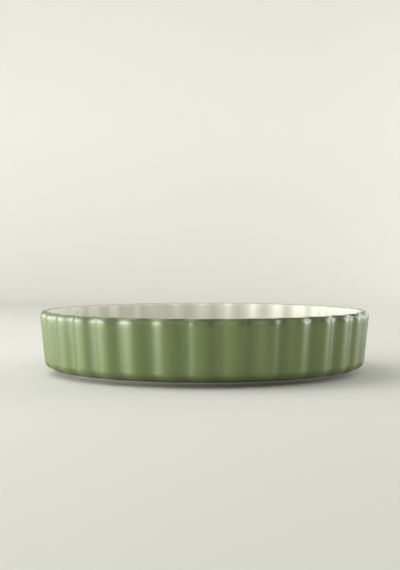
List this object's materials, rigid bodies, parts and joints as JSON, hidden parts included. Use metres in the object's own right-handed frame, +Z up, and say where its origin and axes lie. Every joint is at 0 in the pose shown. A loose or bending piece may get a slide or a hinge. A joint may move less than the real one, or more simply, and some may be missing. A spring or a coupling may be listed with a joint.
{
  "type": "fluted quiche dish",
  "caption": "Shallow round stoneware quiche dish with a fluted upright wall, rounded lip, green glaze outside, white liner glaze inside and a bare foot ring.",
  "frame": {"origin": "centre of the foot ring's circle, on the plane that the dish stands on", "axes": "+Z up along the dish's axis, out of its mouth; one lobe's crest faces -Y"},
  "size_m": [0.2597, 0.2595, 0.049],
  "materials": {
    "green_glaze": "satin to glossy sage green glaze over stoneware, thinner and paler on the edges; the foot ring is bare, pale clay",
    "white_glaze": "glossy warm white liner glaze inside the dish"
  },
  "bodies": {
    "root": {"glazed_body": "green_glaze", "liner_glaze": "white_glaze"}
  },
  "joints": []
}
